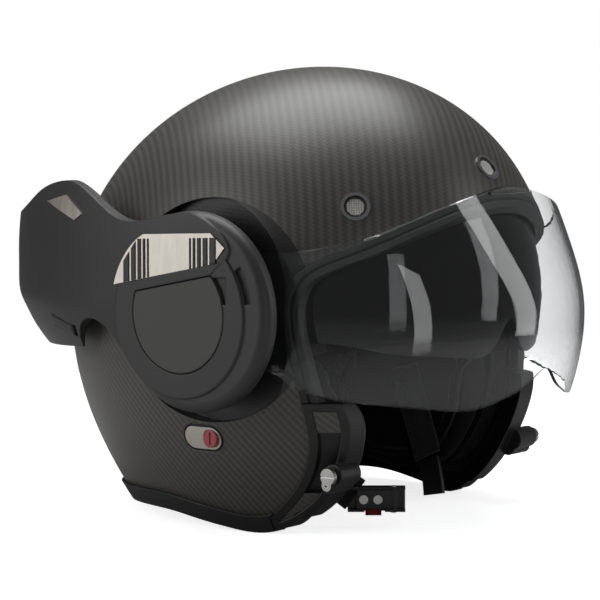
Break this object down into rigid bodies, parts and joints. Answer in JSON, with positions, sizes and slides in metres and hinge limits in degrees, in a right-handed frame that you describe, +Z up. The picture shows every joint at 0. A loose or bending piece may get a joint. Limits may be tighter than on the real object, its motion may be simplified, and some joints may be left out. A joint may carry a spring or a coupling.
{
  "type": "open face motorcycle helmet",
  "caption": "Motorcycle helmet with a clear bubble visor, a drop-down sun visor and a chin bar that swings over the crown to rest behind the head.",
  "frame": {"origin": "bottom centre of the bounding box, on the surface that the rim stands on", "axes": "+Z up to the crown, -Y forward out of the face port, +X to the wearer's left"},
  "size_m": [0.276, 0.3456, 0.2561],
  "materials": {
    "carbon_shell": "matt clear-coated carbon twill",
    "carbon_trim": "satin carbon twill",
    "chin_paint": "matt painted",
    "cap_paint": "matt painted",
    "black_plastic": "fine-grained",
    "black_rubber": "matt",
    "liner_foam": "black expanded foam",
    "lining_fabric": "brushed knit",
    "webbing": "woven",
    "red_webbing": "woven",
    "clear_lens": "clear polycarbonate",
    "smoke_lens": "dark smoke polycarbonate",
    "badge_metal": "satin",
    "badge_ink": "matt",
    "brushed_steel": "brushed",
    "steel": "polished",
    "steel_black": "black coated",
    "steel_mesh": "woven mesh",
    "dark_chrome": "dark chrome",
    "zinc_plate": "zinc plated",
    "red_plastic": "gloss"
  },
  "bodies": {
    "helmet": {"outer_shell": "carbon_shell", "rim_trim": "black_rubber", "port_gasket": "black_rubber", "foam_liner": "liner_foam", "crown_lining": "lining_fabric", "cheek_pad_right": "lining_fabric", "cheek_pad_left": "lining_fabric", "cheek_foam_right": "liner_foam", "cheek_foam_left": "liner_foam", "neck_roll": "lining_fabric", "cheek_trim_right": "black_plastic", "cheek_trim_left": "black_plastic", "cheek_end_caps_right": "carbon_trim", "cheek_end_caps_left": "carbon_trim", "striker_pins": "steel", "lock_screws": "steel", "vent_rings": "dark_chrome", "vent_cups": "black_plastic", "vent_meshes": "steel_mesh", "button_tub": "black_plastic", "button_plate": "brushed_steel", "pivot_base_right": "zinc_plate", "pivot_base_left": "zinc_plate", "pivot_washers": "steel", "pivot_screws": "steel", "sun_visor_pins": "steel", "strap_right": "webbing", "strap_left": "webbing", "strap_anchors": "steel", "strap_tongue": "black_plastic", "buckle_frame": "steel_black", "buckle_pin": "steel"},
    "clear_visor_body": {"clear_visor": "clear_lens"},
    "sun_visor_body": {"sun_visor": "smoke_lens"},
    "chin_bar": {"chin_bar_shell": "chin_paint", "chin_bar_foam": "liner_foam", "chin_bar_cover": "black_plastic", "arm_plate_right": "zinc_plate", "arm_plate_left": "zinc_plate", "pivot_cap_right": "cap_paint", "pivot_cap_left": "cap_paint", "side_badge_right": "badge_metal", "side_badge_left": "badge_metal", "badge_bars_right": "badge_ink", "badge_bars_left": "badge_ink", "chin_plate_right": "badge_metal", "chin_plate_left": "badge_metal", "chin_insert_right": "black_plastic", "chin_insert_left": "black_plastic", "latch_housing_right": "black_plastic", "latch_housing_left": "black_plastic"},
    "release_button": {"chin_release_button": "black_plastic"},
    "latch_catches": {"latch_catch_right": "steel", "latch_catch_left": "steel"},
    "visor_button": {"sun_visor_button": "red_plastic"},
    "lever": {"buckle_lever": "steel_black", "buckle_rivets": "steel", "release_tab": "red_webbing"}
  },
  "joints": [
    {"name": "chin_bar_hinge", "type": "hinge", "parent": "helmet", "child": "chin_bar", "pos_m": [0, -0.02197, 0.1228], "axis": [1, 0, 0], "range_deg": [0, 199]},
    {"name": "visor_hinge", "type": "hinge", "parent": "helmet", "child": "clear_visor_body", "pos_m": [0, -0.02197, 0.1228], "axis": [-1, 0, 0], "range_deg": [0, 20]},
    {"name": "sun_visor_hinge", "type": "hinge", "parent": "helmet", "child": "sun_visor_body", "pos_m": [0, -0.02527, 0.126], "axis": [-1, 0, 0], "range_deg": [0, 43]},
    {"name": "sun_visor_button_slide", "type": "slide", "parent": "helmet", "child": "visor_button", "axis": [1, 0, 0], "range_m": [0, 0.002], "stiffness_N_per_m": 300},
    {"name": "release_button_slide", "type": "slide", "parent": "chin_bar", "child": "release_button", "axis": [0, 0, -1], "range_m": [0, 0.004], "stiffness_N_per_m": 300},
    {"name": "latch_slide", "type": "slide", "parent": "chin_bar", "child": "latch_catches", "axis": [0, 0.506, -0.8625], "range_m": [0, 0.003]},
    {"name": "buckle_lever_hinge", "type": "hinge", "parent": "helmet", "child": "lever", "pos_m": [-0.03669, -0.09311, 0.0165], "axis": [0, 0, 1], "range_deg": [0, 40], "stiffness_Nm_per_rad": 0.05}
  ],
  "couplings": [
    {"joint": "latch_slide", "follows": "release_button_slide", "ratio": 0.75}
  ]
}
